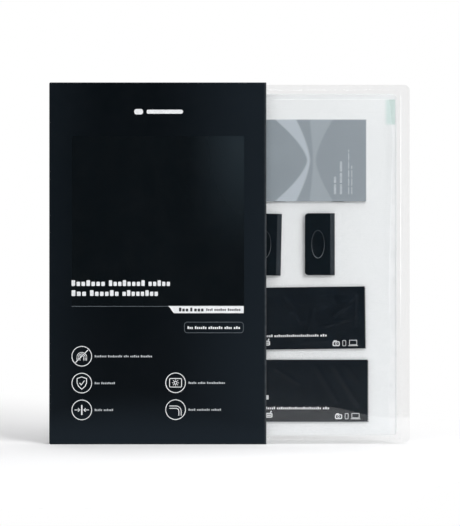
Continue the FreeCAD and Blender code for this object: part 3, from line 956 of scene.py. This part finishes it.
def draw_bright_screen(art, x, z, line):
    art.frame(x - 6.2, z - 4.4, x + 6.2, z + 4.4, 1.0, line * 1.2)
    art.ring((x, z), 1.5, line * 1.2, steps=20)
    middle = Vector((x, z))
    rays = 8
    for ray in range(rays):
        angle = math.radians(360 / rays * ray)
        toward = Vector((math.cos(angle), math.sin(angle)))
        art.stroke([tuple(middle + toward * 2.4), tuple(middle + toward * 3.5)], line)


def draw_round_edge(art, x, z, line):
    for inset in (0.0, 2.4):
        radius = 5.4 - inset
        middle = (x + 0.4, z - 1.6)
        points = [(x - 6.4, middle[1] + radius)]
        points += arc(middle, radius, 90, -90, 12)
        points.append((middle[0] + radius, z - 6.2))
        art.stroke(points, line * 1.2)


def print_sleeve(inks):
    """The sleeve's front: a gloss panel, lines of type shown as blocks, a tag and five marks in rings."""
    left, bottom, right, top = 23.8, 143.9, 201.9, 319.3
    lowest = on_sleeve(left * MM, bottom * MM)
    highest = on_sleeve(right * MM, top * MM)
    panel = Print(on_sleeve, 0.07 * MM)
    panel.bar(left, bottom, right, top, 1.7, 30.0)
    varnish = varnish_finish(lowest.x, lowest.z, highest.x, highest.z)

    art = Print(on_sleeve, 0.1 * MM)
    art.bar(88.2, 341.6, 97.4, 347.4, 2.4)
    art.bar(101.0, 342.4, 138.6, 346.6, 1.6)
    art.words(23.3, 164.0, 6.0, (36.0, 38.5, 23.5), 2.6)
    art.words(23.3, 153.7, 6.0, (16.5, 31.0, 38.0), 2.6)
    tag_left, tag_right, tag_top, tag_tip, tag_foot = 123.4, 201.5, 143.3, 142.9, 135.9
    slant_width, slant_drop, slant_steps = 6.4, 7.0, 6
    upper, lower = [], []
    for i in range(slant_steps + 1):
        share = i / slant_steps
        upper.append((tag_left + slant_width * share, tag_top))
        lower.append((tag_left + slant_width * share, tag_tip - slant_drop * ease(share)))
    upper.append((tag_right, tag_top))
    lower.append((tag_right, tag_foot))
    art.band(upper, lower)
    art.words(143.4, 119.5, 2.8, (6.0, 12.5, 15.0, 8.0, 7.0), 1.6)
    small_art = Print(on_sleeve, 0.1 * MM)
    line = 0.62
    marks = (
        (33.9, 91.3, draw_smudge_mark, (12.5, 15.0, 5.5, 9.5, 12.0)),
        (33.9, 63.5, draw_shield, (5.5, 14.5)),
        (33.9, 35.7, draw_thin_sheet, (8.0, 10.0)),
        (131.0, 63.8, draw_bright_screen, (8.5, 8.0, 19.0)),
        (131.0, 36.0, draw_round_edge, (7.5, 13.5, 10.5)),
    )
    for x, z, draw, caption in marks:
        art.ring((x, z), 10.2, 0.75)
        draw(art, x, z, line)
        small_art.words(x + 13.4, z - 1.1, 2.2, caption, 1.3)

    dim_art = Print(on_sleeve, 0.09 * MM)
    dim_art.bar(23.3, 142.7, 124.5, 143.2, 0.2)
    dim_art.frame(140.2, 115.6, 201.2, 126.6, 3.0, 0.45)

    reversed_art = Print(on_sleeve, 0.13 * MM)
    reversed_art.words(134.5, 137.7, 3.9, (10.5, 3.0, 10.5), 1.2)
    reversed_art.words(162.8, 138.3, 2.5, (7.0, 12.5, 13.5), 1.4)

    for layer, name, finish in (
        (panel, "sleeve_gloss_panel", varnish),
        (art, "sleeve_print", inks["white"]),
        (small_art, "sleeve_captions", inks["grey"]),
        (dim_art, "sleeve_rules", inks["dim"]),
        (reversed_art, "sleeve_tag_print", inks["dark"]),
    ):
        layer.make(name, "sleeve", finish, "sleeve_board")


def print_booklet(ink):
    """Four upright lines of type on the booklet's cover, shown as bars."""
    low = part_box("booklet_cover")[0]

    def on_cover(across, up):
        return Vector((low.x + across, low.y, low.z + up))

    art = Print(on_cover, 0.04 * MM)
    foot = 7.2
    gap = 1.3
    shortest = 1.0
    large_word, small_word = 10.5, 7.5
    for left, right, top, word in (
        (86.2, 88.6, 25.6, large_word),
        (92.4, 94.8, 43.2, large_word),
        (101.0, 102.2, 53.4, small_word),
        (104.3, 105.4, 37.0, small_word),
    ):
        bottom = foot
        while bottom < top - shortest:
            reach = min(top, bottom + word)
            art.bar(left, bottom, right, reach, 0.4)
            bottom = reach + gap
    art.make("booklet_print", "case", ink, "grey_cover")


def rim_squeegee(node, finish):
    """The narrow raised rim round a squeegee's oval thumb dish."""
    low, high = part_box(node)
    middle = (low + high) / 2
    lean = math.radians(SQUEEGEE_LEAN[node])

    def on_face(across, up):
        turned = Matrix.Rotation(lean, 3, "Y") @ Vector((across, 0, up))
        return Vector((middle.x + turned.x, low.y, middle.z + turned.z))

    rim = Print(on_face, 0.12 * MM)
    steps = 48
    angles = [2 * math.pi * i / steps for i in range(steps)]
    shift, half_width, half_height = -2.1, 6.7, 14.4
    oval = [(shift + half_width * math.cos(a), half_height * math.sin(a)) for a in angles]
    rim.stroke(oval, 0.5, closed=True)
    rim.make(f"{node}_rim", "case", finish, "black_plastic")


def print_sachet(sachet, ink):
    """Two lines of type, shown as blocks, and four small marks: a box, a camera, a phone and a laptop."""
    lift = 0.02 * MM

    def on_film(across, up):
        return sachet.place(across, up, sachet.front_y(across, up) - lift)

    art = Print(on_film, 0.05 * MM, 0.5)
    art.words(12.0, 12.9, 2.6, (16.4, 46.3, 7.1), 1.4)
    art.words(8.0, 23.0, 6.2, (14.6,), 1.4)
    line = 0.55
    bold = 1.3
    art.frame(18.8, 4.8, 24.6, 8.6, 0.8, bold)
    art.stroke([(19.6, 6.7), (23.8, 6.7)], bold)
    art.stroke([(23.0, 9.4), (24.2, 11.2)], bold)
    art.frame(90.6, 3.3, 97.0, 7.3, 0.9, 1.1)
    art.ring((93.8, 5.3), 1.0, line, steps=20)
    art.bar(91.2, 8.0, 94.4, 8.8, 0.2)
    art.frame(100.6, 3.0, 103.8, 8.6, 0.7, line)
    art.frame(107.6, 4.1, 115.2, 8.7, 0.5, line)
    art.bar(106.4, 2.7, 116.4, 3.4, 0.3)
    art.make(f"{sachet.row}_sachet_print", "case", ink, "black_film")


def make_world():
    world = bpy.data.worlds.new("studio")
    bpy.context.scene.world = world
    world.use_nodes = True
    nodes = Nodes(world.node_tree)
    toward = nodes.add("TexCoord").outputs["Generated"]
    x, y, _ = nodes.add("SeparateXYZ", toward).outputs
    room = nodes.spread(y, -0.55, 0.35, ROOM_LEVEL, 1.0)
    right_side = nodes.spread(x, 0.5, 0.8, 0.0, PANEL_LEVEL)
    beside = nodes.times(right_side, nodes.spread(y, -0.45, -0.2))
    mirrored = nodes.math("ADD", room, beside)
    over_ambient = nodes.math("SUBTRACT", mirrored, AMBIENT_LEVEL)
    level = nodes.math("MULTIPLY_ADD", nodes.rays("Is Glossy Ray"), over_ambient, AMBIENT_LEVEL)
    under_white = nodes.math("SUBTRACT", 1.0, level)
    level = nodes.math("MULTIPLY_ADD", nodes.rays("Is Camera Ray"), under_white, level)
    background = world.node_tree.nodes["Background"]
    nodes.feed(background.inputs["Color"], (1, 1, 1, 1))
    nodes.feed(background.inputs["Strength"], level)


def make_floor():
    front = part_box("case_lid")[0].y
    near = front - FLOOR_REACH * CAMERA_DISTANCE
    nearer = front - LEFT_REACH * FLOOR_REACH * CAMERA_DISTANCE
    half_width = 4.0
    far = 8.0
    bend = [(0.131, nearer), (0.152, near - 0.09), (0.172, near - 0.035), (0.197, near)]
    corners = [(-half_width, nearer), *bend, (half_width, near), (half_width, far), (-half_width, far)]
    mesh = bmesh.new()
    mesh.faces.new([mesh.verts.new((x, y, 0)) for x, y in corners])
    data = bpy.data.meshes.new("floor")
    mesh.to_mesh(data)
    mesh.free()
    finish = Finish("floor_white")
    tone = finish.uneven(0.0, 1.0, 0.8)
    finish.set(Base_Color=finish.blend(tone, srgb(229, 229, 230), srgb(233, 233, 234)))
    finish.set(Roughness=0.8, Specular_IOR_Level=0.1)
    seen = finish.rays("Is Camera Ray", "Is Glossy Ray")
    x, y, _ = finish.axes()
    behind = finish.spread(finish.math("MULTIPLY_ADD", x, 0.6, y), -0.12, 0.42)
    far_off = finish.math("ADD", finish.times(x, x), finish.times(y, y))
    away = finish.math("MAXIMUM", behind, finish.spread(far_off, 0.25, 0.8))
    finish.show(finish.times(seen, away), finish.shader, finish.add("Emission"))
    data.materials.append(finish.material)
    floor = add_object("floor", data)


def make_lamp(name, place, aim, width, height, power):
    """A soft oblong lamp, turned from its place towards its aim."""
    lamp = bpy.data.lights.new(name, "AREA")
    lamp.shape = "RECTANGLE"
    lamp.size = width
    lamp.size_y = height
    lamp.energy = power
    holder = add_object(name, lamp)
    holder.location = place
    holder.rotation_euler = (Vector(aim) - Vector(place)).to_track_quat("-Z", "Y").to_euler()


make_camera()
make_world()
make_floor()
make_lamp("key_lamp", (1.0, -1.1, 1.25), (0.05, 0, 0.18), 0.6, 0.6, 16.5)
make_lamp("side_lamp", (1.25, -0.55, 0.35), (0.1, 0, 0.2), 0.2, 1.2, 6.5)
make_lamp("top_lamp", (0.1, -0.4, 1.6), (0.05, 0, 0.2), 1.4, 0.5, 10)
make_lamp("roof_lamp", (0.0, 0.25, 1.9), (0.0, 0.1, 0), 1.2, 0.5, 11)
make_lamp("left_lamp", (-1.5, -0.9, 0.7), (-0.05, 0, 0.2), 0.5, 0.9, 3)

paper = paper_finish()
milky_film = plain_finish("milky_film", (236, 238, 239), (242, 243, 244), 20 * MM, 0.25, 0.4, 8 * MM, 3.0)
green_film = plain_finish("green_film", (202, 219, 215), (210, 225, 222), 6 * MM, 0.3, 0.42, 4 * MM)
dress(sleeve_finish(), "card_sleeve")
dress(clear_finish(), "case_base", "case_lid")
dress(milky_film, "adhesive_liner", "front_film")
dress(glass_finish(), "glass_sheet")
dress(green_film, "film_pull_tab")
dress(booklet_finish(), "booklet_cover")
dress(paper, "booklet_pages")
dress(steel_finish(), "booklet_staples")
for node in SQUEEGEE_LEAN:
    dress(plastic_finish(node), node)

make_cover_foam(foam_finish("white_foam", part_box("film_pull_tab")))
make_base_foam(foam_finish("white_foam_block"))

inks = {}
for ink, first, second in (
    ("white", (226, 228, 230), (236, 238, 240)),
    ("pale", (182, 190, 196), (192, 199, 205)),
    ("grey", (172, 177, 181), (184, 188, 192)),
    ("dim", (88, 96, 102), (98, 106, 112)),
    ("dark", (22, 26, 30), (28, 32, 36)),
):
    inks[ink] = plain_finish(f"{ink}_ink", first, second, 3 * MM, 0.42, 0.56, 1 * MM)
print_sleeve(inks)
print_booklet(inks["pale"])
rim_plastic = rim_finish()
for node in SQUEEGEE_LEAN:
    rim_squeegee(node, rim_plastic)

upper_sachet = Sachet(
    "upper",
    lean=-0.7,
    seed=11,
    bulges=((55, 20, 104, 46, 0.05),),
    folds=(
        (62, 8, 70, 40, 0.16, 2.2),
        (94, 36, 114, 54, 0.24, 2.6),
        (40, 52, 58, 30, 0.24, 3),
        (84, 24, 112, 32, 0.14, 1.7),
        (113, 24, 115, 50, 0.14, 1.7),
    ),
)
lower_sachet = Sachet(
    "lower",
    lean=0.0,
    seed=47,
    bulges=(),
    folds=(
        (70, 58, 92, 22, 0.26, 3),
        (88, 60, 114, 18, 0.3, 3),
        (100, 60, 114, 42, 0.24, 2.4),
        (30, 54, 52, 40, 0.18, 2.2),
    ),
)
film = sachet_finish()
cloth = cloth_finish()
for sachet in (upper_sachet, lower_sachet):
    sachet.make_pouch(film)
    sachet.make_cloth("wet_wipe", cloth)
    sachet.make_cloth("dry_cloth", cloth)
    sachet.make_stickers(paper)
    print_sachet(sachet, inks["white"])

bpy.context.scene.view_settings.view_transform = "Standard"
